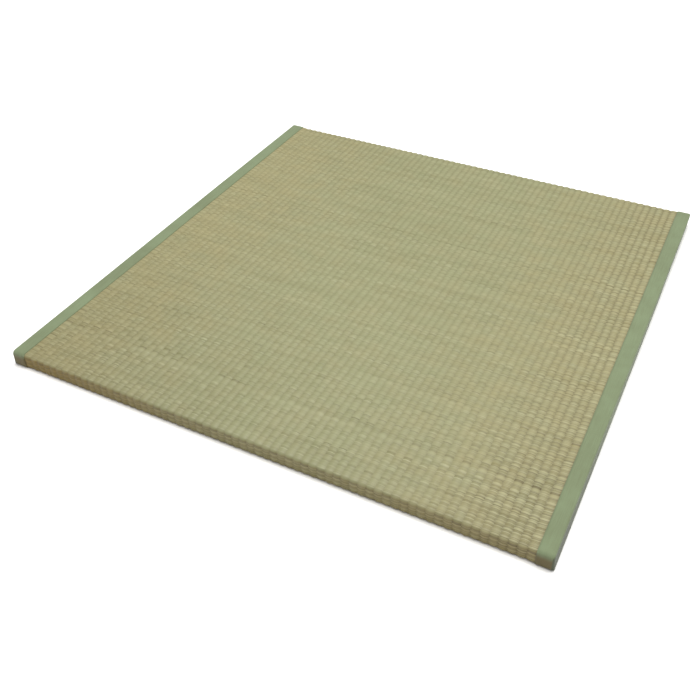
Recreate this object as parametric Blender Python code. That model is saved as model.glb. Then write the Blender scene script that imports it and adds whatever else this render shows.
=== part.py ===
"""A square tatami mat: a board covered in woven rush, with a cloth binding along each side.

X runs across the two bindings and Y along them. The underside lies on Z = 0, with the origin at its centre.
Lengths are in metres.
"""

import math

import bmesh
import bpy
from mathutils import Matrix, Vector

# Outside size of the finished mat.
WIDTH = 0.820
LENGTH = 0.820
THICKNESS = 0.025

# Binding: the width that shows on the face, the cloth itself, and the room between it and the board.
BINDING_SHOWN = 0.0235
CLOTH = 0.0010
GAP = 0.0003

# Rush cover: ribs run along Y, over both folded edges and down to the foot.
RIB_COUNT = 67
RIB_RELIEF = 0.0012
RIB_FULLNESS = 0.6
STEPS_PER_RIB = 4

# Rounding of the board: where the cover folds down, along the foot, and round each bound side.
FOLD_RADIUS = 0.0050
FOLD_SEGMENTS = 4
FOOT_BEVEL = 0.0020
SIDE_RADIUS = 0.0022
SIDE_SEGMENTS = 2
SHARP_ANGLE = math.radians(40)

# Finishes, as linear red, green and blue, and roughness.
RUSH_COLOUR = (0.400, 0.395, 0.235)
RUSH_ROUGHNESS = 0.55
BINDING_COLOUR = (0.260, 0.345, 0.195)
BINDING_ROUGHNESS = 0.80

# The board lies inside the cloth, and its ribs fill the field between the two bindings.
WRAP = CLOTH + GAP
BOARD_HALF_WIDTH = WIDTH / 2 - WRAP
BOARD_HALF_LENGTH = LENGTH / 2 - WRAP
BOARD_TOP = THICKNESS - WRAP
FIELD_HALF_WIDTH = WIDTH / 2 - BINDING_SHOWN
RIB_PITCH = 2 * FIELD_HALF_WIDTH / RIB_COUNT

# A bevel at 45 degrees keeps its distance from one inside it when it is wider by this share of that distance.
BEVEL_GROWTH = 2 - math.sqrt(2)

# Distances below this are taken as none.
TOUCH = 1e-5


def clear_scene():
    for old in list(bpy.data.objects):
        bpy.data.objects.remove(old)


def finish(name, colour, roughness):
    """A plain material for one kind of cloth."""
    material = bpy.data.materials.new(name)
    material.use_nodes = True
    shader = material.node_tree.nodes["Principled BSDF"]
    shader.inputs["Base Color"].default_value = (*colour, 1.0)
    shader.inputs["Roughness"].default_value = roughness
    shader.inputs["Metallic"].default_value = 0.0
    return material


def add_object(name, bm, material):
    """Turns a bmesh into a named object with its faces pointing out."""
    bmesh.ops.recalc_face_normals(bm, faces=bm.faces)
    mesh = bpy.data.meshes.new(name)
    bm.to_mesh(mesh)
    bm.free()
    mesh.materials.append(material)
    mesh.shade_smooth()
    mesh.set_sharp_from_angle(angle=SHARP_ANGLE)
    added = bpy.data.objects.new(name, mesh)
    bpy.context.scene.collection.objects.link(added)
    return added


def add_block(bm, low, high):
    """A plain block between two opposite corners."""
    low, high = Vector(low), Vector(high)
    place = Matrix.Translation((low + high) / 2) @ Matrix.Diagonal((*(high - low), 1.0))
    bmesh.ops.create_cube(bm, size=1.0, matrix=place)


def round_edges(bm, edges, radius, segments):
    bmesh.ops.bevel(
        bm, geom=edges, offset=radius, affect="EDGES", segments=segments, profile=0.5, material=-1
    )


def edges_along_x(bm):
    return [e for e in bm.edges if abs(e.verts[0].co.x - e.verts[1].co.x) > TOUCH]


def face_across_x(bm, x):
    """The flat face that closes the shape at x."""
    return next(f for f in bm.faces if all(abs(v.co.x - x) < TOUCH for v in f.verts))


def round_front_and_back(bm, fold_radius, foot_bevel):
    """Rounds the long edges of a block at its front and back: a full fold on top, a small bevel at the foot."""
    long_edges = edges_along_x(bm)
    middle = sum(v.co.z for v in bm.verts) / len(bm.verts)
    upper = [e for e in long_edges if e.verts[0].co.z > middle]
    lower = [e for e in long_edges if e.verts[0].co.z < middle]
    round_edges(bm, upper, fold_radius, FOLD_SEGMENTS)
    round_edges(bm, lower, foot_bevel, 1)


def groove_depth(x):
    """How far the cover lies below the crowns of its ribs at x."""
    if abs(x) > FIELD_HALF_WIDTH + TOUCH:
        return 0.0
    share = (x + FIELD_HALF_WIDTH) / RIB_PITCH
    crown = abs(math.sin(math.pi * share)) ** RIB_FULLNESS
    return RIB_RELIEF * (1 - crown)


def inward(point):
    """The direction from a point of the cover into the board, square to the cover in the YZ plane."""
    core_y = BOARD_HALF_LENGTH - FOLD_RADIUS
    core = Vector((point.x, max(-core_y, min(core_y, point.y)), min(point.z, BOARD_TOP - FOLD_RADIUS)))
    return (core - point).normalized()


def extend_under_binding(bm, side):
    """Carries the board on from the ribbed field to the bound side, with a rebate below for the turned cloth."""
    cap = face_across_x(bm, side * FIELD_HALF_WIDTH)
    for reach in (GAP, BINDING_SHOWN - WRAP - GAP):
        cap = bmesh.ops.extrude_discrete_faces(bm, faces=[cap])["faces"][0]
        bmesh.ops.translate(bm, vec=(side * reach, 0, 0), verts=cap.verts)
        if reach == GAP:
            foot = [v for v in cap.verts if v.co.z < FOOT_BEVEL + TOUCH]
            bmesh.ops.translate(bm, vec=(0, 0, WRAP), verts=foot)
    round_edges(bm, list(cap.edges), SIDE_RADIUS, SIDE_SEGMENTS)


def rush_board(material):
    """The covered board, one filled solid: ribs between the bindings, plain underneath them."""
    bm = bmesh.new()
    add_block(
        bm, (-FIELD_HALF_WIDTH, -BOARD_HALF_LENGTH, 0.0), (FIELD_HALF_WIDTH, BOARD_HALF_LENGTH, BOARD_TOP)
    )
    round_front_and_back(bm, FOLD_RADIUS, FOOT_BEVEL)
    bmesh.ops.subdivide_edges(bm, edges=edges_along_x(bm), cuts=RIB_COUNT * STEPS_PER_RIB - 1)
    for side in (-1, 1):
        extend_under_binding(bm, side)
    for v in bm.verts:
        if v.co.z > TOUCH:
            v.co += inward(v.co) * groove_depth(v.co.x)
    return add_object("rush_board", bm, material)


def binding(name, side, material):
    """One strip of cloth round the face, side, underside and both ends of a bound side, open to the board."""
    bm = bmesh.new()
    edge, outside = FIELD_HALF_WIDTH, WIDTH / 2
    add_block(bm, (edge, -LENGTH / 2, 0.0), (outside, LENGTH / 2, THICKNESS))
    round_front_and_back(bm, FOLD_RADIUS + WRAP, FOOT_BEVEL + BEVEL_GROWTH * WRAP)
    round_edges(bm, list(face_across_x(bm, outside).edges), SIDE_RADIUS + WRAP, SIDE_SEGMENTS)
    bmesh.ops.delete(bm, geom=[face_across_x(bm, edge)], context="FACES_ONLY")
    bmesh.ops.recalc_face_normals(bm, faces=bm.faces)
    bmesh.ops.solidify(bm, geom=bm.faces, thickness=CLOTH)
    turned_under = [
        v for v in bm.verts if abs(v.co.x - edge) < TOUCH and v.co.z < FOOT_BEVEL + WRAP + CLOTH
    ]
    bmesh.ops.translate(bm, vec=(2 * GAP, 0, 0), verts=turned_under)
    bmesh.ops.scale(bm, vec=(side, 1, 1), verts=bm.verts)
    return add_object(name, bm, material)


def main():
    clear_scene()
    rush = finish("woven_rush", RUSH_COLOUR, RUSH_ROUGHNESS)
    cloth = finish("binding_cloth", BINDING_COLOUR, BINDING_ROUGHNESS)
    rush_board(rush)
    binding("binding_left", -1, cloth)
    binding("binding_right", 1, cloth)


main()
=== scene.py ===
"""Dresses a square tatami mat: its ribbed rush cover, its two cloth bindings, and a plain studio round it.

X runs across the two bindings and Y along the ribs, away from the front edge. Lengths are in metres.
"""

import math
import random

import bmesh
import bpy
from bpy.props import FloatProperty, FloatVectorProperty, IntProperty, PointerProperty
from mathutils import Matrix, Vector, noise


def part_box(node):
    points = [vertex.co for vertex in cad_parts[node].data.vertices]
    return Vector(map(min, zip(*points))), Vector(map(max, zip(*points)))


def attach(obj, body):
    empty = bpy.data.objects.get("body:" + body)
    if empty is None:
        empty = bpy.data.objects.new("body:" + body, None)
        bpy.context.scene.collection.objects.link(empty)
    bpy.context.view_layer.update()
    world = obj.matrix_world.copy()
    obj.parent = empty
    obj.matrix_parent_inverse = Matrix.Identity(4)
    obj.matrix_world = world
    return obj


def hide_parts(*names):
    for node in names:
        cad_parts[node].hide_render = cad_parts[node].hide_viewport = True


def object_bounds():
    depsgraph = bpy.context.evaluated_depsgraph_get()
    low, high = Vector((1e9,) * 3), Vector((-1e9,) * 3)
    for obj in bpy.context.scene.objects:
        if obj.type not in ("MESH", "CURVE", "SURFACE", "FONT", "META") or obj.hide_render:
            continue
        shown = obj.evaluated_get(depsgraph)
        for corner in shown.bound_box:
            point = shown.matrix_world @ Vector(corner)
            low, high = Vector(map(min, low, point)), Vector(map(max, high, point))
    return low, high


bl_info = {
    "name": "Tatami mat",
    "version": (1, 0, 0),
    "blender": (4, 5, 0),
    "location": "3D View > Sidebar > Tatami",
    "description": "Makes the rush cover, the cloth bindings and the studio of a square tatami mat",
    "category": "Object",
}

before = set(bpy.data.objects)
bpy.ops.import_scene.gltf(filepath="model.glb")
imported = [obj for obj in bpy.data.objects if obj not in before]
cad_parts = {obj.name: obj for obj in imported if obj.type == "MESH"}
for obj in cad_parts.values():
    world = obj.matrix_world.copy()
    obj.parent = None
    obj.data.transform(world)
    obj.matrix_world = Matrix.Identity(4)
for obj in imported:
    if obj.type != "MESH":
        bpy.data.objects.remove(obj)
CAD_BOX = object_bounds()

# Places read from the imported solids: the board, and the inner edge and outer side of its right binding.
BOARD_LOW, BOARD_HIGH = (Vector(corner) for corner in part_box("rush_board"))
BOUND_LOW, BOUND_HIGH = (Vector(corner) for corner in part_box("binding_right"))
HALF_FIELD = BOUND_LOW.x

MM = 0.001

# Lengths below this are taken as none.
TOUCH = 1e-5


def linear(hex_colour):
    """Turns an sRGB hex colour into linear red, green and blue."""
    parts = [int(hex_colour[k : k + 2], 16) / 255 for k in (1, 3, 5)]
    return tuple(c / 12.92 if c <= 0.04045 else ((c + 0.055) / 1.055) ** 2.4 for c in parts)


class MatSizes(bpy.types.PropertyGroup):
    """Sizes of the weave and of the cloth."""

    rib_count: IntProperty(
        name="Ribs", description="Ribs of rush between the two bindings", default=67, min=3, max=200
    )
    rib_relief: FloatProperty(
        name="Rib relief",
        description="Depth of the grooves between the ribs",
        default=1.2 * MM,
        unit="LENGTH",
        subtype="DISTANCE",
    )
    course: FloatProperty(
        name="Course",
        description="Mean distance along a rib from one crossing of the rushes to the next",
        default=4.0 * MM,
        unit="LENGTH",
        subtype="DISTANCE",
    )
    notch: FloatProperty(
        name="Notch",
        description="How deep a bundle of rushes dips where it meets the next one on its rib",
        default=0.42 * MM,
        unit="LENGTH",
        subtype="DISTANCE",
    )
    fold_radius: FloatProperty(
        name="Fold radius",
        description="Radius with which the cover turns down over the front and back edges",
        default=5.0 * MM,
        unit="LENGTH",
        subtype="DISTANCE",
    )
    cloth: FloatProperty(
        name="Binding cloth",
        description="Thickness of the binding's folded cloth",
        default=0.9 * MM,
        unit="LENGTH",
        subtype="DISTANCE",
    )


class MatColours(bpy.types.PropertyGroup):
    """Colours of the dried rush and of the cloth."""

    rush_light: FloatVectorProperty(
        name="Rush, light", description="Crown of a pale rush", default=linear("#9F9F7C"), subtype="COLOR"
    )
    rush_dark: FloatVectorProperty(
        name="Rush, dark", description="A darker rush", default=linear("#7C7B57"), subtype="COLOR"
    )
    rush_tan: FloatVectorProperty(
        name="Rush, tan", description="Rush that has dried tan", default=linear("#998D63"), subtype="COLOR"
    )
    rush_green: FloatVectorProperty(
        name="Rush, green", description="Rush that stayed green", default=linear("#888E68"), subtype="COLOR"
    )
    # Painted shade: a darker, browner rush colour stands for the shade and warm bounced light on the
    # turned-down front and back faces.
    rush_fold_shade: FloatVectorProperty(
        name="Rush, brown",
        description="Rush on the folded front and back edges, browner from handling",
        default=linear("#86702F"),
        subtype="COLOR",
    )
    rush_gap: FloatVectorProperty(
        name="Rush, gaps", description="Brown shade in the gaps", default=linear("#463A18"), subtype="COLOR"
    )
    # Painted shade: this darker, browner cloth colour stands for the shade and warm bounced light where the
    # cloth turns down at the front and back.
    binding_end_shade: FloatVectorProperty(
        name="Binding, ends",
        description="Cloth of the bindings where it turns down at the front and back, darker from handling",
        default=linear("#60552F"),
        subtype="COLOR",
    )
    binding: FloatVectorProperty(
        name="Binding", description="Cloth of the bindings", default=linear("#707B5A"), subtype="COLOR"
    )
    backing: FloatVectorProperty(
        name="Backing", description="Plain felt under the mat", default=linear("#A39C8A"), subtype="COLOR"
    )
    floor: FloatVectorProperty(
        name="Floor", description="Studio floor", default=linear("#FBFAF8"), subtype="COLOR"
    )


# Settings that many shader nodes share.
TIMES = {"operation": "MULTIPLY"}
TIMES_PLUS = {"operation": "MULTIPLY_ADD"}
PLUS = {"operation": "ADD"}
MINUS = {"operation": "SUBTRACT"}
WHOLE = {"operation": "FLOOR"}
NEAREST = {"operation": "ROUND"}
FRACTION = {"operation": "FRACT"}
UNSIGNED = {"operation": "ABSOLUTE"}
DOT = {"operation": "DOT_PRODUCT"}
SCALED = {"operation": "SCALE"}
SMOOTH = {"interpolation_type": "SMOOTHSTEP"}
IN_SPACE = {"noise_dimensions": "3D"}
COLOUR = {"data_type": "RGBA"}


def add_node(tree, kind, settings=None, inputs=None):
    """Adds a shader node. An input is a value, another node, for its first output, or one of its outputs."""
    node = tree.nodes.new(kind)
    for key, value in (settings or {}).items():
        setattr(node, key, value)
    for key, value in (inputs or {}).items():
        if isinstance(value, bpy.types.Node):
            value = value.outputs[0]
        if isinstance(value, bpy.types.NodeSocket):
            tree.links.new(value, node.inputs[key])
        else:
            node.inputs[key].default_value = value
    return node


def ramp(values):
    """Inputs of a Map Range node: its start, its end, and what it gives at each of them."""
    start, end, at_start, at_end = values
    return {1: start, 2: end, 3: at_start, 4: at_end}


def new_material(name):
    """An empty material with its tree and its surface shader, already joined to the output."""
    material = bpy.data.materials.new(name)
    material.use_nodes = True
    tree = material.node_tree
    return material, tree, tree.nodes["Principled BSDF"]


def opaque(colour):
    return (*colour, 1.0)


def scaled(colour, shares):
    return tuple(share * part for share, part in zip(shares, colour))


def add_piece(name, bm, materials):
    """Turns a bmesh into a smooth-shaded object at the origin."""
    mesh = bpy.data.meshes.new(name)
    bm.to_mesh(mesh)
    bm.free()
    for material in materials:
        mesh.materials.append(material)
    mesh.shade_smooth()
    piece = bpy.data.objects.new(name, mesh)
    bpy.context.scene.collection.objects.link(piece)
    return piece


# Rush cover

RIB_STEPS = 6
RIB_FULLNESS = 1.25
FOLD_STEPS = 5
FOOT = 2.0 * MM
UNDER_BINDING = 0.1

# Rows: seed and unevenness of their lengths, and how deep each one dips, shared by its ribs or on its own.
ROW_SEED = 4
ROW_JITTER = 0.4
NOTCH_SEED = 23
NOTCH_RARITY = 1.3
NOTCH_SHARED = 0.4
NOTCH_MEAN = 0.5
NOTCH_SPREAD = 0.9
NOTCH_STEPS = (5.1, 3.7, 9.0)

# Slow swell of single ribs and of neighbouring ones: height, and steps in the noise for each rib and row.
SWELL = 0.14 * MM
SWELL_STEPS = (7.3, 0.8, 2.0)
ROW_SWELL = 0.10 * MM
ROW_SWELL_STEPS = (0.16, 0.9, 40.0)

# Where the rows stand out least: the middle of that strip, half its width, and the fade on both its sides.
CALM_MIDDLE = -0.08
CALM_HALF = 0.08
CALM_FADE = 0.34
CALM_SHARE = 0.6

# Slow sideways wander of ribs and rows: how far, waves for each metre and place in the noise, and the
# distance from the bindings or the folds over which it starts.
RIB_WANDER = 0.9 * MM
RIB_WAVES = (40.0, 45.0, 1.7)
RIB_WANDER_START = 12.0 * MM
ROW_WANDER = 1.6 * MM
ROW_WAVES = (11.0, 7.0, 5.3)
ROW_WANDER_START = 20.0 * MM
FACING_UP = 0.99

# Lean of the two sides at the front and back, and the rounded far right corner.
FRONT_LEAN = 2.6 * MM
BACK_LEAN = -1.4 * MM
CORNER_LENGTH = 9.0 * MM
CORNER_CUT = 2.5 * MM


def drawn_in(side, y, z):
    """How far a side of the mat lies in: at its top near the front, and at its foot near the back."""
    share = z / BOUND_HIGH.z
    lean = FRONT_LEAN + (BACK_LEAN - FRONT_LEAN) * (y + BOUND_HIGH.y) / (2 * BOUND_HIGH.y)
    drawn = lean * share if lean > 0 else -lean * (1 - share)
    if side > 0:
        drawn += CORNER_CUT * max(0.0, (y - BOUND_HIGH.y) / CORNER_LENGTH + 1) ** 2
    return drawn


def cover_path(sizes):
    """Points of the cover's section from foot to foot, as (y, z, outward direction, distance, row)."""
    half, top, radius = BOARD_HIGH.y, BOARD_HIGH.z, sizes.fold_radius
    chance = random.Random(ROW_SEED)
    straight_up = top - radius - FOOT
    across = 2 * (half - radius)
    turn = radius * math.pi / 2

    def stretch(length):
        """Steps that fill a straight stretch with whole courses, which are uneven in length."""
        count = max(2, round(length / sizes.course))
        courses = [1 + chance.uniform(-ROW_JITTER, ROW_JITTER) for _ in range(count)]
        scale = length / sum(courses)
        return [course * scale for course in courses]

    steps = [("up", step) for step in stretch(straight_up)]
    steps += [("turn", turn / FOLD_STEPS)] * FOLD_STEPS
    steps += [("across", step) for step in stretch(across)]
    steps += [("turn", turn / FOLD_STEPS)] * FOLD_STEPS
    steps += [("down", step) for step in stretch(straight_up)]

    marks = [(0.0, 0.0)]
    for kind, step in steps:
        share = 1 / FOLD_STEPS if kind == "turn" else 1
        marks.append((marks[-1][0] + step, marks[-1][1] + share))

    points = [(-half + FOOT, 0.0, Vector((0, 0, 0)), -FOOT, -0.5)]
    for distance, row in marks:
        run = distance - straight_up
        if run <= 0:
            y, z, out = -half, FOOT + distance, Vector((0, -1, 0))
        elif run < turn:
            angle = run / radius
            y, z = -half + radius - radius * math.cos(angle), top - radius + radius * math.sin(angle)
            out = Vector((0, -math.cos(angle), math.sin(angle)))
        elif run <= turn + across:
            y, z, out = -half + radius + run - turn, top, Vector((0, 0, 1))
        elif run < 2 * turn + across:
            angle = (run - turn - across) / radius
            y, z = half - radius + radius * math.sin(angle), top - radius + radius * math.cos(angle)
            out = Vector((0, math.sin(angle), math.cos(angle)))
        else:
            y, z, out = half, top - radius - (run - 2 * turn - across), Vector((0, 1, 0))
        points.append((y, z, out, distance, row))
    points.append((half - FOOT, 0.0, Vector((0, 0, 0)), marks[-1][0] + FOOT, marks[-1][1] + 0.5))
    return points


def rib_stations(sizes):
    """Places across the mat, counted in ribs from the left binding's edge, past it under both bindings."""
    under = (BOARD_HIGH.x - HALF_FIELD) * sizes.rib_count / (2 * HALF_FIELD)
    field = [k / RIB_STEPS for k in range(sizes.rib_count * RIB_STEPS + 1)]
    last = sizes.rib_count
    return [-under, -UNDER_BINDING, *field, last + UNDER_BINDING, last + under]


def cover_height(sizes, rib, row, x, notches):
    """Height of the cover over its mean crown, at a place counted in ribs and rows."""
    if rib < 0.5 or rib > sizes.rib_count - 0.5:
        return 0.0
    number = min(int(rib + TOUCH), sizes.rib_count - 1)
    crown = max(0.0, math.sin(math.pi * (rib - number))) ** RIB_FULLNESS
    nearest = int(round(row))
    parity = (nearest + number) % 2
    height = -sizes.rib_relief * (1 - crown)
    by_rib, by_row, key = SWELL_STEPS
    height += SWELL * crown * noise.noise((number * by_rib, row * by_row, key))
    by_rib, by_row, apart = ROW_SWELL_STEPS
    height += ROW_SWELL * crown * noise.noise((rib * by_rib, row * by_row, apart * ((number + 1) % 2)))
    if abs(row - nearest) < TOUCH and parity == 0:
        by_rib, by_row, key = NOTCH_STEPS
        alone = NOTCH_MEAN + NOTCH_SPREAD * noise.noise((number * by_rib, row * by_row, key))
        depth = NOTCH_SHARED * notches[nearest] + (1 - NOTCH_SHARED) * alone
        height -= sizes.notch * depth * crown * calm(x)
    return height


def calm(x):
    """How strongly the rows stand out at x: least left of the middle, and most at the right binding."""
    away = min(1.0, max(0.0, (abs(x - CALM_MIDDLE) - CALM_HALF) / CALM_FADE))
    return CALM_SHARE + (1 - CALM_SHARE) * away * away * (3 - 2 * away)


def rush_cover(sizes, materials):
    """The cover from foot to foot, ribbed and notched, closed by the plain underside."""
    path = cover_path(sizes)
    ribs = rib_stations(sizes)
    rows = int(path[-1][4]) + 2
    chance = random.Random(NOTCH_SEED)
    notches = [chance.random() ** NOTCH_RARITY for _ in range(rows)]

    bm = bmesh.new()
    bmesh.ops.create_grid(bm, x_segments=len(ribs) - 1, y_segments=len(path) - 1, size=0.5)
    weave = bm.verts.layers.float_vector.new("weave")
    rib_width = 2 * HALF_FIELD / sizes.rib_count
    for v in bm.verts:
        rib = ribs[round((v.co.x + 0.5) * (len(ribs) - 1))]
        y, z, out, distance, row = path[round((v.co.y + 0.5) * (len(path) - 1))]
        x = -HALF_FIELD + rib * rib_width
        place = Vector((x, y, z)) + out * cover_height(sizes, rib, row, x, notches)
        if 0 < rib < sizes.rib_count:
            share = min(1.0, (HALF_FIELD - abs(x)) / RIB_WANDER_START)
            across, along, key = RIB_WAVES
            place.x += share * RIB_WANDER * noise.noise((x * across, distance * along, key))
        if out.z > FACING_UP and 0 < rib < sizes.rib_count:
            share = min(1.0, (BOARD_HIGH.y - abs(y)) / ROW_WANDER_START)
            across, along, key = ROW_WAVES
            place.y += share * ROW_WANDER * noise.noise((x * across, y * along, key))
        if abs(x) > BOARD_HIGH.x - TOUCH:
            place.x -= math.copysign(drawn_in(math.copysign(1, x), y, z), x)
        v[weave] = (rib, row, 0.0)
        v.co = place
    foot = [e for e in bm.edges if e.is_boundary and all(abs(v.co.z) < TOUCH for v in e.verts)]
    under = bmesh.ops.bridge_loops(bm, edges=foot)["faces"]
    for face in under:
        face.material_index = 1
    bmesh.ops.holes_fill(bm, edges=[e for e in bm.edges if e.is_boundary])
    bmesh.ops.recalc_face_normals(bm, faces=bm.faces)
    return add_piece("rush_cover", bm, materials)


# Single stalks on a rib: how many lie in a course, and how unevenly. The next rib starts elsewhere.
STALKS_PER_COURSE = 1.6
STALK_UNEVENNESS = 2.4
STALK_UNEVEN_SCALE = 0.55
NEXT_RIB_APART = 31.5

# Places in the random noise, one for each thing that varies on its own.
BUNDLE_KEY = 7.0
CROSSING_KEY = 3.0
STALK_KEY = 17.0
OWN_STALK_KEY = 13.0
DRIFT_KEY = 5.0
GAP_KEY = 19.0
JOINT_KEY = 23.0
OWN_JOINT_KEY = 29.0
ROW_KEY = 41.0
ROW_FADE_KEY = 2.0

# Ramps over the mat, as start, end, value at the start and value at the end. Places are in metres.
LOOSER_OUTWARDS = (0.08, 0.42, -0.12, 0.07)
BESIDE_RIGHT = (0.24, 0.385, 0.0, 1.0)
TURNED_DOWN = (BOARD_HIGH.z - 1.5 * MM, BOARD_HIGH.z - 5.5 * MM, 0.0, 1.0)
STALKS_AT_FRONT = (-0.16, -0.36, 0.52, 0.95)
TAN_OUTWARDS = (0.06, 0.40, 0.28, 0.50)
FOLD_SHADE_AT_LEFT = (-0.44, -0.04, 1.0, 0.40)
GROOVE_BACKWARDS = (BOARD_LOW.y, BOARD_HIGH.y, 0.90, 0.835)
GROOVE_AT_LEFT = (-0.40, -0.26, 0.09, 0.0)
JOINTS_OUTWARDS = (0.27, 0.385, 0.0, 0.60)
DARKER_FRONT_LEFT = (-0.62, -0.05, 0.85, 1.0)
DARKER_FRONT_RIGHT = (0.30, 0.55, 1.0, 0.95)
FROM_FRONT_LEFT = (0.55, 0.83, 0.0)
TO_FRONT_RIGHT = (0.6, -0.8, 0.0)

# Ramps of a noise, a random value or a distance within a rib, a row or a stalk.
LOOSE_FOUND = (0.38, 0.62, 0.15, 1.0)
TAN_FOUND = (0.44, 0.84, 0.0, 0.55)
GREEN_FOUND = (0.54, 0.34, 0.0, 0.30)
GAP_DEPTH = (0.0, 1.0, 0.14, 0.38)
GAP_AT_GROOVE = (0.0, 0.15, 1.4, 1.0)
JOINT_SHADE = (0.0, 2.0, 0.97, 0.57)
ROW_LINE = (0.05, 0.28, 1.0, 0.0)
ROW_FOUND = (0.45, 1.0, 0.0, 1.0)
ROW_STRENGTH = (0.38, 0.60, 0.03, 0.17)

# Size of the patches of loose, drifting and tan rush, as steps in the noise.
LOOSE_BY_RIB = 0.13
LOOSE_BY_ROW = 0.50
DRIFT_BY_RIB = 0.15
DRIFT_BY_ROW = 0.42
DRIFT_SCALE = 0.7
TAN_SCALE = 30.0
ROW_FADE_BY_RIB = 0.05
ROW_APART = 3.7

# Weights in the tone of the rush, from dark to light.
TONE_BASE = 0.085
BUNDLE_TONE = 0.11
NEXT_BUNDLE_TONE = -0.09
CROSSING_TONE = 0.12
DRIFT_TONE = 0.44
LOOSE_TONE = 0.08
RIGHT_TONE = 0.14
STALK_BASE = -0.18
STALK_TONE = 0.58
NEXT_STALK_TONE = -0.54
OWN_STALK_TONE = 0.32
LEAST_CONTRAST = 0.05

# Other weights: how loose the stalks lie, how tan the rush is, and how dark the painted shade of grooves,
# joints and gaps is.
LOOSE_AT_RIGHT = 0.30
LOOSE_AT_FOLD = 1.2
CONTRAST_AT_RIGHT = 0.60
TAN_PATCHES = 0.40
GROOVE_AT_RIGHT = -0.11
JOINT_SHARED = 0.55
JOINT_OWN = 0.85
JOINT_BASE = 0.45
JOINT_WHERE_LOOSE = 0.45
SHADE_TO_GAP = 1.2


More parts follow.
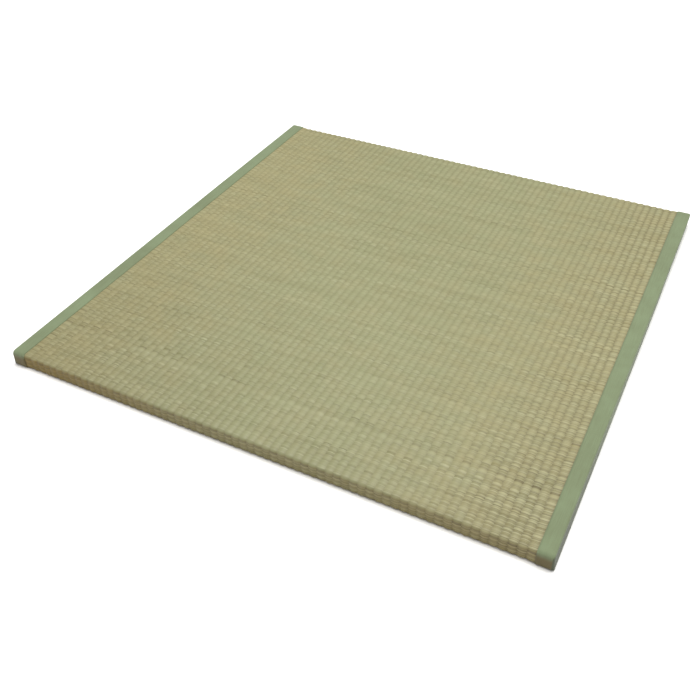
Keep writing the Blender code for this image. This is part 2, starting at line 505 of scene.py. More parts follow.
def rush_material(colours):
    """Dried rush, woven over hidden warp threads: pale stalks with painted shade in the gaps, grooves and
    joints, and a faint sheen on each.
    """
    material, tree, shader = new_material("woven_dried_rush")
    weave = add_node(tree, "ShaderNodeAttribute", {"attribute_name": "weave"})
    place = add_node(tree, "ShaderNodeSeparateXYZ", inputs={0: weave.outputs["Vector"]})
    rib = add_node(tree, "ShaderNodeMath", WHOLE, {0: place.outputs["X"]})
    across = add_node(tree, "ShaderNodeMath", FRACTION, {0: place.outputs["X"]})
    odd = add_node(tree, "ShaderNodeMath", {"operation": "MODULO"}, {0: rib, 1: 2.0})
    where = add_node(tree, "ShaderNodeTexCoord")
    position = add_node(tree, "ShaderNodeSeparateXYZ", inputs={0: where.outputs["Object"]})
    from_middle = add_node(tree, "ShaderNodeMath", UNSIGNED, {0: position.outputs["X"]})

    # A bundle is two courses long, and the bundles of the next rib start one course further on.
    row = add_node(tree, "ShaderNodeMath", PLUS, {0: place.outputs["Y"], 1: odd})
    bundles = add_node(tree, "ShaderNodeMath", TIMES, {0: row, 1: 0.5})
    bundle = add_node(tree, "ShaderNodeMath", WHOLE, {0: bundles})
    joint = add_node(tree, "ShaderNodeMath", NEAREST, {0: bundles})
    along = add_node(tree, "ShaderNodeMath", FRACTION, {0: bundles})

    # Stalks lie about 2.5 mm apart on a rib, unevenly, and in other places on the next rib.
    stalk_place = add_node(
        tree, "ShaderNodeMath", TIMES_PLUS, {0: odd, 1: NEXT_RIB_APART, 2: place.outputs["Y"]}
    )
    uneven = add_node(
        tree,
        "ShaderNodeTexNoise",
        {"noise_dimensions": "1D"},
        {"W": stalk_place, "Scale": STALK_UNEVEN_SCALE, "Detail": 0.0},
    )
    stalks = add_node(tree, "ShaderNodeMath", TIMES, {0: stalk_place, 1: STALKS_PER_COURSE})
    stalks = add_node(tree, "ShaderNodeMath", TIMES_PLUS, {0: uneven, 1: STALK_UNEVENNESS, 2: stalks})
    number = add_node(tree, "ShaderNodeMath", WHOLE, {0: stalks})
    in_stalk = add_node(tree, "ShaderNodeMath", FRACTION, {0: stalks})
    rest = add_node(tree, "ShaderNodeMath", MINUS, {0: 1.0, 1: in_stalk})
    bulge = add_node(tree, "ShaderNodeMath", TIMES, {0: in_stalk, 1: rest})

    # In some places the stalks lie proud and apart, for a few rows and ribs, mostly at the right binding.
    loose_x = add_node(tree, "ShaderNodeMath", TIMES, {0: place.outputs["X"], 1: LOOSE_BY_RIB})
    loose_y = add_node(tree, "ShaderNodeMath", TIMES, {0: place.outputs["Y"], 1: LOOSE_BY_ROW})
    loose_key = add_node(tree, "ShaderNodeCombineXYZ", inputs={0: loose_x, 1: loose_y, 2: odd})
    loose_noise = add_node(
        tree, "ShaderNodeTexNoise", IN_SPACE, {"Vector": loose_key, "Scale": 1.0, "Detail": 1.5}
    )
    looser = add_node(tree, "ShaderNodeMapRange", SMOOTH, {0: from_middle, **ramp(LOOSER_OUTWARDS)})
    loose_place = add_node(tree, "ShaderNodeMath", PLUS, {0: loose_noise, 1: looser})
    beside_right = add_node(
        tree, "ShaderNodeMapRange", SMOOTH, {0: position.outputs["X"], **ramp(BESIDE_RIGHT)}
    )
    loose_place = add_node(
        tree, "ShaderNodeMath", TIMES_PLUS, {0: beside_right, 1: LOOSE_AT_RIGHT, 2: loose_place}
    )
    loose = add_node(tree, "ShaderNodeMapRange", SMOOTH, {0: loose_place, **ramp(LOOSE_FOUND)})

    # They also lie proud where the cover turns down.
    turned_down = add_node(
        tree, "ShaderNodeMapRange", SMOOTH, {0: position.outputs["Z"], **ramp(TURNED_DOWN)}
    )
    proud_edge = add_node(tree, "ShaderNodeMath", TIMES, {0: turned_down, 1: LOOSE_AT_FOLD})
    loose = add_node(tree, "ShaderNodeMath", {"operation": "MAXIMUM"}, {0: loose, 1: proud_edge})

    # A bundle shows on every other rib and differs from the one after it. Each of its crossings differs
    # too, and a slow drift is shared by neighbouring ribs and rows.
    bundle_key = add_node(tree, "ShaderNodeCombineXYZ", inputs={0: odd, 1: bundle, 2: BUNDLE_KEY})
    bundle_tone = add_node(tree, "ShaderNodeTexWhiteNoise", IN_SPACE, {"Vector": bundle_key})
    crossing_key = add_node(tree, "ShaderNodeCombineXYZ", inputs={0: rib, 1: bundle, 2: CROSSING_KEY})
    crossing_tone = add_node(tree, "ShaderNodeTexWhiteNoise", IN_SPACE, {"Vector": crossing_key})
    stalk_key = add_node(tree, "ShaderNodeCombineXYZ", inputs={0: odd, 1: number, 2: STALK_KEY})
    stalk_tone = add_node(tree, "ShaderNodeTexWhiteNoise", IN_SPACE, {"Vector": stalk_key})
    drift_y = add_node(tree, "ShaderNodeMath", TIMES, {0: place.outputs["Y"], 1: DRIFT_BY_ROW})
    drift_x = add_node(tree, "ShaderNodeMath", TIMES, {0: place.outputs["X"], 1: DRIFT_BY_RIB})
    drift_key = add_node(tree, "ShaderNodeCombineXYZ", inputs={0: drift_x, 1: drift_y, 2: DRIFT_KEY})
    drift = add_node(
        tree, "ShaderNodeTexNoise", IN_SPACE, {"Vector": drift_key, "Scale": DRIFT_SCALE, "Detail": 2.0}
    )
    next_bundle = add_node(tree, "ShaderNodeMath", PLUS, {0: bundle, 1: 1.0})
    beside_key = add_node(tree, "ShaderNodeCombineXYZ", inputs={0: odd, 1: next_bundle, 2: BUNDLE_KEY})
    beside_tone = add_node(tree, "ShaderNodeTexWhiteNoise", IN_SPACE, {"Vector": beside_key})
    tone = add_node(tree, "ShaderNodeMath", TIMES_PLUS, {0: bundle_tone, 1: BUNDLE_TONE, 2: TONE_BASE})
    tone = add_node(tree, "ShaderNodeMath", TIMES_PLUS, {0: beside_tone, 1: NEXT_BUNDLE_TONE, 2: tone})
    tone = add_node(tree, "ShaderNodeMath", TIMES_PLUS, {0: crossing_tone, 1: CROSSING_TONE, 2: tone})
    # Single stalks show where they lie loose, most near the front and beside the right binding.
    at_front = add_node(
        tree, "ShaderNodeMapRange", SMOOTH, {0: position.outputs["Y"], **ramp(STALKS_AT_FRONT)}
    )
    at_right = add_node(tree, "ShaderNodeMath", TIMES_PLUS, {0: beside_right, 1: CONTRAST_AT_RIGHT, 2: 1.0})
    at_front = add_node(tree, "ShaderNodeMath", TIMES, {0: at_front, 1: at_right})
    stalk_contrast = add_node(
        tree, "ShaderNodeMath", TIMES_PLUS, {0: loose, 1: at_front, 2: LEAST_CONTRAST}
    )
    own_key = add_node(tree, "ShaderNodeCombineXYZ", inputs={0: rib, 1: number, 2: OWN_STALK_KEY})
    own_tone = add_node(tree, "ShaderNodeTexWhiteNoise", IN_SPACE, {"Vector": own_key})
    next_number = add_node(tree, "ShaderNodeMath", PLUS, {0: number, 1: 1.0})
    next_key = add_node(tree, "ShaderNodeCombineXYZ", inputs={0: odd, 1: next_number, 2: STALK_KEY})
    next_tone = add_node(tree, "ShaderNodeTexWhiteNoise", IN_SPACE, {"Vector": next_key})
    stalk_share = add_node(
        tree, "ShaderNodeMath", TIMES_PLUS, {0: stalk_tone, 1: STALK_TONE, 2: STALK_BASE}
    )
    stalk_share = add_node(
        tree, "ShaderNodeMath", TIMES_PLUS, {0: next_tone, 1: NEXT_STALK_TONE, 2: stalk_share}
    )
    stalk_share = add_node(
        tree, "ShaderNodeMath", TIMES_PLUS, {0: own_tone, 1: OWN_STALK_TONE, 2: stalk_share}
    )
    tone = add_node(tree, "ShaderNodeMath", TIMES_PLUS, {0: stalk_share, 1: stalk_contrast, 2: tone})
    tone = add_node(tree, "ShaderNodeMath", TIMES_PLUS, {0: drift, 1: DRIFT_TONE, 2: tone})
    tone = add_node(tree, "ShaderNodeMath", TIMES_PLUS, {0: loose, 1: LOOSE_TONE, 2: tone})
    tone = add_node(tree, "ShaderNodeMath", TIMES_PLUS, {0: beside_right, 1: RIGHT_TONE, 2: tone})
    base = add_node(
        tree,
        "ShaderNodeMix",
        COLOUR,
        {"Factor": tone, 6: opaque(colours.rush_dark), 7: opaque(colours.rush_light)},
    )

    # The rush is tan mostly near the bindings and green in the middle, in soft patches.
    patches = add_node(
        tree,
        "ShaderNodeTexNoise",
        IN_SPACE,
        {"Vector": where.outputs["Object"], "Scale": TAN_SCALE, "Detail": 2.0, "Roughness": 0.6},
    )
    nearer = add_node(tree, "ShaderNodeMapRange", SMOOTH, {0: from_middle, **ramp(TAN_OUTWARDS)})
    tan_place = add_node(tree, "ShaderNodeMath", TIMES_PLUS, {0: patches, 1: TAN_PATCHES, 2: nearer})
    tan = add_node(tree, "ShaderNodeMapRange", SMOOTH, {0: tan_place, **ramp(TAN_FOUND)})
    green = add_node(tree, "ShaderNodeMapRange", SMOOTH, {0: tan_place, **ramp(GREEN_FOUND)})
    with_tan = add_node(
        tree, "ShaderNodeMix", COLOUR, {"Factor": tan, 6: base.outputs[2], 7: opaque(colours.rush_tan)}
    )
    with_green = add_node(
        tree,
        "ShaderNodeMix",
        COLOUR,
        {"Factor": green, 6: with_tan.outputs[2], 7: opaque(colours.rush_green)},
    )
    # Painted shade: where it turns down, the rush is painted darker and browner for its shade and warm
    # bounced light, most at the left.
    left_fold_shade = add_node(
        tree, "ShaderNodeMapRange", SMOOTH, {0: position.outputs["X"], **ramp(FOLD_SHADE_AT_LEFT)}
    )
    fold_shade_share = add_node(tree, "ShaderNodeMath", TIMES, {0: turned_down, 1: left_fold_shade})
    with_fold_shade = add_node(
        tree,
        "ShaderNodeMix",
        COLOUR,
        {"Factor": fold_shade_share, 6: with_green.outputs[2], 7: opaque(colours.rush_fold_shade)},
    )

    # Painted shade: the grooves between ribs are painted darker, most beside the right binding, least beside
    # the left one, and more towards the back.
    past = add_node(tree, "ShaderNodeMath", MINUS, {0: 1.0, 1: across})
    hump = add_node(tree, "ShaderNodeMath", TIMES, {0: across, 1: past})
    groove_floor = add_node(
        tree, "ShaderNodeMapRange", inputs={0: position.outputs["Y"], **ramp(GROOVE_BACKWARDS)}
    )
    groove_floor = add_node(
        tree, "ShaderNodeMath", TIMES_PLUS, {0: beside_right, 1: GROOVE_AT_RIGHT, 2: groove_floor}
    )
    shallower = add_node(
        tree, "ShaderNodeMapRange", SMOOTH, {0: position.outputs["X"], **ramp(GROOVE_AT_LEFT)}
    )
    groove_floor = add_node(tree, "ShaderNodeMath", PLUS, {0: groove_floor, 1: shallower})
    groove = add_node(
        tree, "ShaderNodeMapRange", SMOOTH, {0: hump, 1: 0.02, 2: 0.245, 3: groove_floor, 4: 1.0}
    )
    # Painted shade also darkens the gaps between stalks, most where they meet a groove.
    gap_key = add_node(tree, "ShaderNodeCombineXYZ", inputs={0: rib, 1: number, 2: GAP_KEY})
    gap_chance = add_node(tree, "ShaderNodeTexWhiteNoise", IN_SPACE, {"Vector": gap_key})
    gap_depth = add_node(tree, "ShaderNodeMapRange", inputs={0: gap_chance, **ramp(GAP_DEPTH)})
    gap_depth = add_node(tree, "ShaderNodeMath", TIMES, {0: gap_depth, 1: stalk_contrast})
    at_groove = add_node(tree, "ShaderNodeMapRange", inputs={0: hump, **ramp(GAP_AT_GROOVE)})
    gap_depth = add_node(tree, "ShaderNodeMath", TIMES, {0: gap_depth, 1: at_groove})
    gap_shade = add_node(tree, "ShaderNodeMath", MINUS, {0: 1.0, 1: gap_depth})
    lines = add_node(tree, "ShaderNodeMapRange", SMOOTH, {0: bulge, 1: 0.0, 2: 0.17, 3: gap_shade, 4: 1.0})
    # Painted shade darkens the joints between two bundles too, partly alike on every other rib, most beside
    # the bindings.
    joint_key = add_node(tree, "ShaderNodeCombineXYZ", inputs={0: odd, 1: joint, 2: JOINT_KEY})
    joint_shared = add_node(tree, "ShaderNodeTexWhiteNoise", IN_SPACE, {"Vector": joint_key})
    alone_key = add_node(tree, "ShaderNodeCombineXYZ", inputs={0: rib, 1: joint, 2: OWN_JOINT_KEY})
    joint_alone = add_node(tree, "ShaderNodeTexWhiteNoise", IN_SPACE, {"Vector": alone_key})
    joint_depth = add_node(tree, "ShaderNodeMath", TIMES, {0: joint_shared, 1: JOINT_SHARED})
    joint_depth = add_node(
        tree, "ShaderNodeMath", TIMES_PLUS, {0: joint_alone, 1: JOINT_OWN, 2: joint_depth}
    )
    joint_share = add_node(
        tree, "ShaderNodeMath", TIMES_PLUS, {0: loose, 1: JOINT_WHERE_LOOSE, 2: JOINT_BASE}
    )
    at_binding = add_node(tree, "ShaderNodeMapRange", SMOOTH, {0: from_middle, **ramp(JOINTS_OUTWARDS)})
    joint_share = add_node(tree, "ShaderNodeMath", PLUS, {0: joint_share, 1: at_binding})
    joint_depth = add_node(tree, "ShaderNodeMath", TIMES, {0: joint_depth, 1: joint_share})
    joint_shade = add_node(tree, "ShaderNodeMapRange", inputs={0: joint_depth, **ramp(JOINT_SHADE)})
    after = add_node(tree, "ShaderNodeMath", MINUS, {0: 1.0, 1: along})
    within = add_node(tree, "ShaderNodeMath", TIMES, {0: along, 1: after})
    ends = add_node(
        tree, "ShaderNodeMapRange", SMOOTH, {0: within, 1: 0.0, 2: 0.17, 3: joint_shade, 4: 1.0}
    )
    shade = add_node(tree, "ShaderNodeMath", TIMES, {0: groove, 1: lines})
    shade = add_node(tree, "ShaderNodeMath", TIMES, {0: shade, 1: ends})

    # About half of the rows lie less tight, and the gap at each is painted as a fine line of shade, stronger
    # on some parts of them.
    near_row = add_node(tree, "ShaderNodeMath", NEAREST, {0: place.outputs["Y"]})
    off_row = add_node(tree, "ShaderNodeMath", MINUS, {0: place.outputs["Y"], 1: near_row})
    off_row = add_node(tree, "ShaderNodeMath", UNSIGNED, {0: off_row})
    at_row = add_node(tree, "ShaderNodeMapRange", SMOOTH, {0: off_row, **ramp(ROW_LINE)})
    row_key = add_node(tree, "ShaderNodeCombineXYZ", inputs={0: 1.0, 1: near_row, 2: ROW_KEY})
    row_chance = add_node(tree, "ShaderNodeTexWhiteNoise", IN_SPACE, {"Vector": row_key})
    row_found = add_node(tree, "ShaderNodeMapRange", inputs={0: row_chance, **ramp(ROW_FOUND)})
    row_far = add_node(tree, "ShaderNodeMath", TIMES, {0: near_row, 1: ROW_APART})
    row_x = add_node(tree, "ShaderNodeMath", TIMES, {0: place.outputs["X"], 1: ROW_FADE_BY_RIB})
    fade_key = add_node(tree, "ShaderNodeCombineXYZ", inputs={0: row_x, 1: row_far, 2: ROW_FADE_KEY})
    fade = add_node(tree, "ShaderNodeTexNoise", IN_SPACE, {"Vector": fade_key, "Scale": 1.0, "Detail": 1.0})
    fade_share = add_node(tree, "ShaderNodeMapRange", SMOOTH, {0: fade, **ramp(ROW_STRENGTH)})
    row_line = add_node(tree, "ShaderNodeMath", TIMES, {0: at_row, 1: row_found})
    row_line = add_node(tree, "ShaderNodeMath", TIMES, {0: row_line, 1: fade_share})
    row_shade = add_node(tree, "ShaderNodeMath", MINUS, {0: 1.0, 1: row_line})
    shade = add_node(tree, "ShaderNodeMath", TIMES, {0: shade, 1: row_shade})

    # Painted shade for the light falling off towards the front left corner. The rush is also a little darker
    # towards the front right corner.
    towards = add_node(tree, "ShaderNodeVectorMath", DOT, {0: where.outputs["Object"], 1: FROM_FRONT_LEFT})
    falloff_shade = add_node(
        tree, "ShaderNodeMapRange", SMOOTH, {0: towards.outputs["Value"], **ramp(DARKER_FRONT_LEFT)}
    )
    shade = add_node(tree, "ShaderNodeMath", TIMES, {0: shade, 1: falloff_shade})
    towards_right = add_node(
        tree, "ShaderNodeVectorMath", DOT, {0: where.outputs["Object"], 1: TO_FRONT_RIGHT}
    )
    front_right = add_node(
        tree, "ShaderNodeMapRange", SMOOTH, {0: towards_right.outputs["Value"], **ramp(DARKER_FRONT_RIGHT)}
    )
    shade = add_node(tree, "ShaderNodeMath", TIMES, {0: shade, 1: front_right})
    # All the painted shade above mixes the rush towards a brown shade colour.
    gap_share = add_node(tree, "ShaderNodeMath", TIMES_PLUS, {0: shade, 1: -SHADE_TO_GAP, 2: SHADE_TO_GAP})
    shaded = add_node(
        tree,
        "ShaderNodeMix",
        COLOUR,
        {"Factor": gap_share, 6: with_fold_shade.outputs[2], 7: opaque(colours.rush_gap)},
    )
    tree.links.new(shaded.outputs[2], shader.inputs["Base Color"])

    # Each stalk is round, which shows most where it lies proud.
    round_stalk = add_node(tree, "ShaderNodeMath", {"operation": "POWER"}, {0: bulge, 1: 0.5})
    stalk_height = add_node(tree, "ShaderNodeMath", TIMES, {0: round_stalk, 1: loose})
    bump = add_node(
        tree, "ShaderNodeBump", inputs={"Strength": 0.8, "Distance": 0.9 * MM, "Height": stalk_height}
    )
    tree.links.new(bump.outputs[0], shader.inputs["Normal"])
    shader.inputs["Roughness"].default_value = 0.52
    shader.inputs["Specular IOR Level"].default_value = 0.35
    return material


FIBRE_SCALE = 420.0
BACKING_DARK = (0.72, 0.72, 0.72)


def backing_material(colours):
    """Thin pressed felt, as glued under such mats: matt, with short fibres in every direction."""
    material, tree, shader = new_material("pressed_felt_backing")
    where = add_node(tree, "ShaderNodeTexCoord")
    fibres = add_node(
        tree,
        "ShaderNodeTexNoise",
        IN_SPACE,
        {"Vector": where.outputs["Object"], "Scale": FIBRE_SCALE, "Detail": 3.0},
    )
    dark = scaled(colours.backing, BACKING_DARK)
    mottled = add_node(
        tree, "ShaderNodeMix", COLOUR, {"Factor": fibres, 6: opaque(dark), 7: opaque(colours.backing)}
    )
    tree.links.new(mottled.outputs[2], shader.inputs["Base Color"])
    bump = add_node(
        tree, "ShaderNodeBump", inputs={"Strength": 0.4, "Distance": 0.3 * MM, "Height": fibres}
    )
    tree.links.new(bump.outputs[0], shader.inputs["Normal"])
    shader.inputs["Roughness"].default_value = 0.95
    return material


class MakeRushCover(bpy.types.Operator):
    """Makes the ribbed rush cover with the board inside it"""

    bl_idname = "tatami.make_rush_cover"
    bl_label = "Rush cover"

    def execute(self, context):
        scene = context.scene
        materials = [rush_material(scene.mat_colours), backing_material(scene.mat_colours)]
        cover = rush_cover(scene.mat_sizes, materials)
        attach(cover, "root")
        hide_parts("rush_board")
        return {"FINISHED"}


# Bindings

SIDE_RADIUS = 2.2 * MM
SIDE_STEPS = 4
TURN_STEPS = 6
FOOT_STEPS = 2
CLOTH_STEP = 6.0 * MM
EDGE_STEP = 3.0 * MM
CUT_JOIN = 1e-6
FACING = 0.7

# The face dips a little between its high places: how far, and waves for each metre.
FACE_DIP = 0.15 * MM
FACE_WAVES = (60.0, 25.0, 3.0)

# The inner edge wanders a little and is pressed into the rush, below and above.
EDGE_WANDER = 0.35 * MM
EDGE_WAVES = (16.0, 16.0, 5.0)
EDGE_PRESSED = 0.38 * MM
EDGE_THINNED = 0.45 * MM
RIM_FACING = -0.3


def face_across_x(bm, x):
    return next(f for f in bm.faces if all(abs(v.co.x - x) < TOUCH for v in f.verts))


def cut_across(bm, axis, low, high, step):
    """Cuts the shape into even lengths between low and high along one axis."""
    normal = Vector([float(k == axis) for k in range(3)])
    count = max(1, round((high - low) / step))
    for k in range(1, count):
        bmesh.ops.bisect_plane(
            bm,
            geom=[*bm.verts, *bm.edges, *bm.faces],
            dist=CUT_JOIN,
            plane_co=normal * (low + (high - low) * k / count),
            plane_no=normal,
        )


def binding(name, side, sizes, material):
    """One strip of cloth folded over a bound side and round both its ends."""
    low, high = BOUND_LOW, BOUND_HIGH
    bm = bmesh.new()
    size = high - low
    place = Matrix.Translation((low + high) / 2) @ Matrix.Diagonal((*size, 1.0))
    bmesh.ops.create_cube(bm, size=1.0, matrix=place)
    across = [e for e in bm.edges if abs(e.verts[0].co.x - e.verts[1].co.x) > size.x / 2]
    upper = [e for e in across if e.verts[0].co.z > size.z / 2]
    lower = [e for e in across if e.verts[0].co.z < size.z / 2]
    rounding = {"affect": "EDGES", "profile": 0.5, "material": -1}
    gap_and_cloth = high.z - BOARD_HIGH.z
    fold = sizes.fold_radius + gap_and_cloth
    bmesh.ops.bevel(bm, geom=upper, offset=fold, segments=TURN_STEPS, **rounding)
    bmesh.ops.bevel(bm, geom=lower, offset=FOOT + gap_and_cloth / 2, segments=FOOT_STEPS, **rounding)
    rim = list(face_across_x(bm, high.x).edges)
    bmesh.ops.bevel(bm, geom=rim, offset=SIDE_RADIUS, segments=SIDE_STEPS, **rounding)
    bmesh.ops.delete(bm, geom=[face_across_x(bm, low.x)], context="FACES_ONLY")
    cut_across(bm, 1, low.y, high.y, CLOTH_STEP)
    cut_across(bm, 0, low.x, high.x, EDGE_STEP)
    cut_across(bm, 2, low.z, high.z, EDGE_STEP)
    bmesh.ops.recalc_face_normals(bm, faces=bm.faces)

    threads = bm.loops.layers.uv.new("threads")
    for face in bm.faces:
        normal = face.normal
        for loop in face.loops:
            x, y, z = loop.vert.co
            if abs(normal.y) > FACING:
                loop[threads].uv = ((x - low.x) / MM, (math.copysign(high.y + high.z - z, y)) / MM)
            elif abs(normal.z) > FACING:
                over = x - low.x if normal.z > 0 else size.x + size.z + high.x - x
                loop[threads].uv = (over / MM, y / MM)
            else:
                loop[threads].uv = ((size.x + high.z - z) / MM, y / MM)

    inner_rim = [v for v in bm.verts if abs(v.co.x - low.x) < TOUCH and v.normal.z > RIM_FACING]
    pressed = {v: Vector((0.0, v.normal.y, v.normal.z)).normalized() for v in inner_rim}
    for v in bm.verts:
        x, y, z = v.co
        v.co.x -= drawn_in(side, y, z) * (x - low.x) / size.x
        if z > high.z - 0.1 * MM:
            wide, long, key = FACE_WAVES
            v.co.z -= FACE_DIP * (0.5 + 0.5 * noise.noise((x * wide, y * long, side * key)))
    for v in inner_rim:
        long, deep, key = EDGE_WAVES
        v.co.x += EDGE_WANDER * noise.noise((v.co.y * long, v.co.z * deep, side * key))
        v.co -= EDGE_PRESSED * pressed[v]
    bmesh.ops.solidify(bm, geom=bm.faces, thickness=sizes.cloth)
    for v in inner_rim:
        v.co -= EDGE_THINNED * pressed[v]
    bmesh.ops.scale(bm, vec=(side, 1, 1), verts=bm.verts)
    bmesh.ops.recalc_face_normals(bm, faces=bm.faces)
    return add_piece(name, bm, [material])


BINDING_DARK = (0.80, 0.76, 0.72)
BINDING_FADED = (1.18, 1.24, 1.30)
# Painted shade on the cloth's sides, as shares of its colour.
BINDING_SIDE_SHADE = (0.40, 0.40, 0.40)
THREAD_SHADE = (0.0, 0.6, 0.90, 1.04)
SLUB_STRETCH = (1.2, 0.03, 1.0)
SLUB_TONE = 0.8
WEAR_SCALE = 22.0

# The real threads are about 0.5 mm apart, too fine to show, and are drawn coarser.
DRAWN_THREAD_MM = 0.9

# Ramps over the mat for the cloth's painted shade, in metres: at the folded ends, down them, at the sides,
# down them, and to the front.
AT_END = (BOUND_HIGH.y - 5.0 * MM, BOUND_HIGH.y - 0.5 * MM, 0.0, 1.0)
DOWN_END = (BOUND_HIGH.z - 1.0 * MM, BOUND_HIGH.z - 12.0 * MM, 0.0, 1.0)
AT_SIDE = (BOUND_HIGH.x - 5.0 * MM, BOUND_HIGH.x - 3.0 * MM, 0.0, 1.0)
DOWN_SIDE = (BOUND_HIGH.z - 0.8 * MM, BOUND_HIGH.z - 5.0 * MM, 0.0, 1.0)
TO_FRONT = (-0.10, -0.40, 0.30, 0.95)


def binding_material(colours):
    """Plain-woven cotton and linen tape: matt, with a small sheen, threads 0.5 mm apart, and painted shade
    on its turned-down ends and sides.
    """
    material, tree, shader = new_material("plain_woven_binding_cloth")
    threads = add_node(tree, "ShaderNodeUVMap", {"uv_map": "threads"})
    where = add_node(tree, "ShaderNodeTexCoord")
    place = add_node(tree, "ShaderNodeVectorMath", SCALED, {0: threads, "Scale": math.pi / DRAWN_THREAD_MM})
    parts = add_node(tree, "ShaderNodeSeparateXYZ", inputs={0: place})
    warp = add_node(tree, "ShaderNodeMath", {"operation": "SINE"}, {0: parts.outputs["X"]})
    weft = add_node(tree, "ShaderNodeMath", {"operation": "SINE"}, {0: parts.outputs["Y"]})
    crossing = add_node(tree, "ShaderNodeMath", TIMES, {0: warp, 1: weft})
    weave = add_node(tree, "ShaderNodeMath", UNSIGNED, {0: crossing})
    stretched = add_node(tree, "ShaderNodeMapping", inputs={"Vector": threads, "Scale": SLUB_STRETCH})
    slubs = add_node(
        tree, "ShaderNodeTexNoise", IN_SPACE, {"Vector": stretched, "Scale": 1.0, "Detail": 2.0}
    )
    wear = add_node(
        tree,
        "ShaderNodeTexNoise",
        IN_SPACE,
        {"Vector": where.outputs["Object"], "Scale": WEAR_SCALE, "Detail": 4.0},
    )
    tone = add_node(tree, "ShaderNodeMath", TIMES_PLUS, {0: slubs, 1: SLUB_TONE, 2: -SLUB_TONE / 2})
    tone = add_node(tree, "ShaderNodeMath", TIMES_PLUS, {0: wear, 1: 1.0, 2: tone})
    dark = scaled(colours.binding, BINDING_DARK)
    faded = scaled(colours.binding, BINDING_FADED)
    colour = add_node(
        tree,
        "ShaderNodeMix",
        COLOUR,
        {"Factor": tone, 6: opaque(dark), 7: opaque(faded)},
    )

    # Painted shade: the cloth is painted darker and browner where it turns down over both ends, for the
    # shade and warm bounced light there.
    position = add_node(tree, "ShaderNodeSeparateXYZ", inputs={0: where.outputs["Object"]})
    from_middle = add_node(tree, "ShaderNodeMath", UNSIGNED, {0: position.outputs["Y"]})
    at_end = add_node(tree, "ShaderNodeMapRange", SMOOTH, {0: from_middle, **ramp(AT_END)})
    down_end = add_node(tree, "ShaderNodeMapRange", SMOOTH, {0: position.outputs["Z"], **ramp(DOWN_END)})
    turned_down = add_node(tree, "ShaderNodeMath", TIMES, {0: at_end, 1: down_end})
    with_end_shade = add_node(
        tree,
        "ShaderNodeMix",
        COLOUR,
        {"Factor": turned_down, 6: colour.outputs[2], 7: opaque(colours.binding_end_shade)},
    )
    # Painted shade: it is painted darker down both sides too, most near the front, for the shade there.
    side_shade = add_node(tree, "ShaderNodeMapRange", SMOOTH, {0: position.outputs["Z"], **ramp(DOWN_SIDE)})
    towards_front = add_node(
        tree, "ShaderNodeMapRange", SMOOTH, {0: position.outputs["Y"], **ramp(TO_FRONT)}
    )
    side_shade = add_node(tree, "ShaderNodeMath", TIMES, {0: side_shade, 1: towards_front})
    outwards = add_node(tree, "ShaderNodeMath", UNSIGNED, {0: position.outputs["X"]})
    at_side = add_node(tree, "ShaderNodeMapRange", SMOOTH, {0: outwards, **ramp(AT_SIDE)})
    side_shade = add_node(tree, "ShaderNodeMath", TIMES, {0: side_shade, 1: at_side})
    with_side_shade = add_node(
        tree,
        "ShaderNodeMix",
        COLOUR,
        {"Factor": side_shade, 6: with_end_shade.outputs[2], 7: opaque(scaled(colours.binding, BINDING_SIDE_SHADE))},
    )
    shade = add_node(tree, "ShaderNodeMapRange", inputs={0: weave, **ramp(THREAD_SHADE)})
    shaded = add_node(tree, "ShaderNodeVectorMath", SCALED, {0: with_side_shade.outputs[2], "Scale": shade})
    tree.links.new(shaded.outputs[0], shader.inputs["Base Color"])
    bump = add_node(
        tree, "ShaderNodeBump", inputs={"Strength": 0.5, "Distance": 0.15 * MM, "Height": weave}
    )
    tree.links.new(bump.outputs[0], shader.inputs["Normal"])
    shader.inputs["Roughness"].default_value = 0.8
    shader.inputs["Sheen Weight"].default_value = 0.12
    return material


STRIPS = (("left_binding", "binding_left", -1), ("right_binding", "binding_right", 1))


class MakeBindings(bpy.types.Operator):
    """Makes the two cloth bindings"""

    bl_idname = "tatami.make_bindings"
    bl_label = "Bindings"

    def execute(self, context):
        scene = context.scene
        material = binding_material(scene.mat_colours)
        for name, node, side in STRIPS:
            strip = binding(name, side, scene.mat_sizes, material)
            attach(strip, "root")
            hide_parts(node)
        return {"FINISHED"}


# Studio

CAMERA_PLACE = Vector((0.4751, -1.0047, 0.8195))
CAMERA_AZIMUTH = math.radians(26.65)
CAMERA_ELEVATION = math.radians(40.69)
CAMERA_ROLL = math.radians(-0.43)
CAMERA_LENS = 43.12
CAMERA_SHIFT = -0.0286
SENSOR_WIDTH = 36.0
FLOOR_HALF = 12.0
FLOOR_DROP = 0.2 * MM
LIGHT_PLACE = Vector((0.2, 0.25, 3.6))
LIGHT_AIM = Vector((0.1, 0.0, 0.0))
LIGHT_SIZE = 2.3
LIGHT_POWER = 168.0
ROOM_LIGHT = 0.42


def floor(colours):
    """A wide pale floor under the mat."""
    material, tree, shader = new_material("matt_studio_floor")
    shader.inputs["Base Color"].default_value = opaque(colours.floor)
    shader.inputs["Roughness"].default_value = 0.9
    bm = bmesh.new()
    bmesh.ops.create_grid(bm, x_segments=1, y_segments=1, size=FLOOR_HALF)
    bmesh.ops.translate(bm, vec=(0, 0, CAD_BOX[0][2] - FLOOR_DROP), verts=bm.verts)
    return add_piece("studio_floor", bm, [material])


def soft_light():
    """One wide round light over the mat."""
    light = bpy.data.lights.new("overhead", "AREA")
    light.shape = "DISK"
    light.size = LIGHT_SIZE
    light.energy = LIGHT_POWER
    lamp = bpy.data.objects.new("overhead", light)
    lamp.location = LIGHT_PLACE
    lamp.rotation_euler = (LIGHT_AIM - LIGHT_PLACE).to_track_quat("-Z", "Y").to_euler()
    bpy.context.scene.collection.objects.link(lamp)


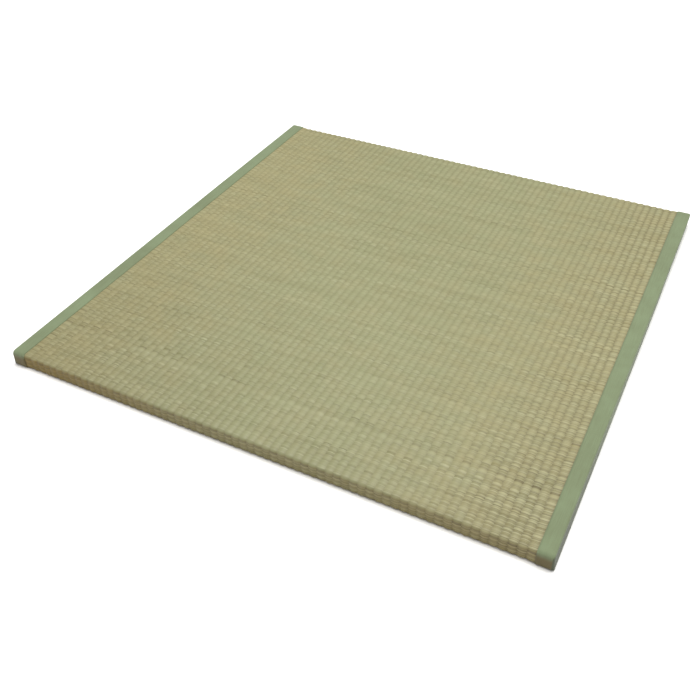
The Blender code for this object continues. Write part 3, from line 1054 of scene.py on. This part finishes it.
def camera():
    """A camera at the photograph's viewing angle, with its small roll and its small sideways shift."""
    az, el = CAMERA_AZIMUTH, CAMERA_ELEVATION
    back = Vector((math.sin(az) * math.cos(el), -math.cos(az) * math.cos(el), math.sin(el)))
    right = (-back).cross(Vector((0, 0, 1))).normalized()
    up = right.cross(-back)
    rolled_right = math.cos(CAMERA_ROLL) * right + math.sin(CAMERA_ROLL) * up
    rolled_up = -math.sin(CAMERA_ROLL) * right + math.cos(CAMERA_ROLL) * up
    turn = Matrix((rolled_right, rolled_up, back)).transposed()
    data = bpy.data.cameras.new("camera")
    data.sensor_width = SENSOR_WIDTH
    data.lens = CAMERA_LENS
    data.shift_x = CAMERA_SHIFT
    added = bpy.data.objects.new("camera", data)
    added.matrix_world = Matrix.Translation(CAMERA_PLACE) @ turn.to_4x4()
    bpy.context.scene.collection.objects.link(added)
    bpy.context.scene.camera = added


class MakeStage(bpy.types.Operator):
    """Makes the floor, the lights and the camera"""

    bl_idname = "tatami.make_stage"
    bl_label = "Studio"

    def execute(self, context):
        scene = context.scene
        floor(scene.mat_colours)
        soft_light()
        world = bpy.data.worlds.new("studio")
        world.use_nodes = True
        background = world.node_tree.nodes["Background"]
        background.inputs["Color"].default_value = (1.0, 1.0, 1.0, 1.0)
        background.inputs["Strength"].default_value = ROOM_LIGHT
        scene.world = world
        scene.view_settings.view_transform = "Standard"
        camera()
        return {"FINISHED"}


class TatamiPanel(bpy.types.Panel):
    """Lists the pieces of the mat and their sizes and colours"""

    bl_idname = "VIEW3D_PT_tatami_mat"
    bl_label = "Tatami mat"
    bl_space_type = "VIEW_3D"
    bl_region_type = "UI"
    bl_category = "Tatami"

    def draw(self, context):
        layout = self.layout
        for group in (context.scene.mat_sizes, context.scene.mat_colours):
            box = layout.box()
            for key in group.bl_rna.properties.keys():
                if key not in ("rna_type", "name"):
                    box.prop(group, key)
        for operator in (MakeRushCover, MakeBindings, MakeStage):
            layout.operator(operator.bl_idname)


CLASSES = (MatSizes, MatColours, MakeRushCover, MakeBindings, MakeStage, TatamiPanel)


def register():
    for kind in CLASSES:
        bpy.utils.register_class(kind)
    bpy.types.Scene.mat_sizes = PointerProperty(type=MatSizes)
    bpy.types.Scene.mat_colours = PointerProperty(type=MatColours)


def unregister():
    del bpy.types.Scene.mat_colours
    del bpy.types.Scene.mat_sizes
    for kind in reversed(CLASSES):
        bpy.utils.unregister_class(kind)


def main():
    register()
    bpy.ops.tatami.make_rush_cover()
    bpy.ops.tatami.make_bindings()
    bpy.ops.tatami.make_stage()


if __name__ == "__main__":
    main()
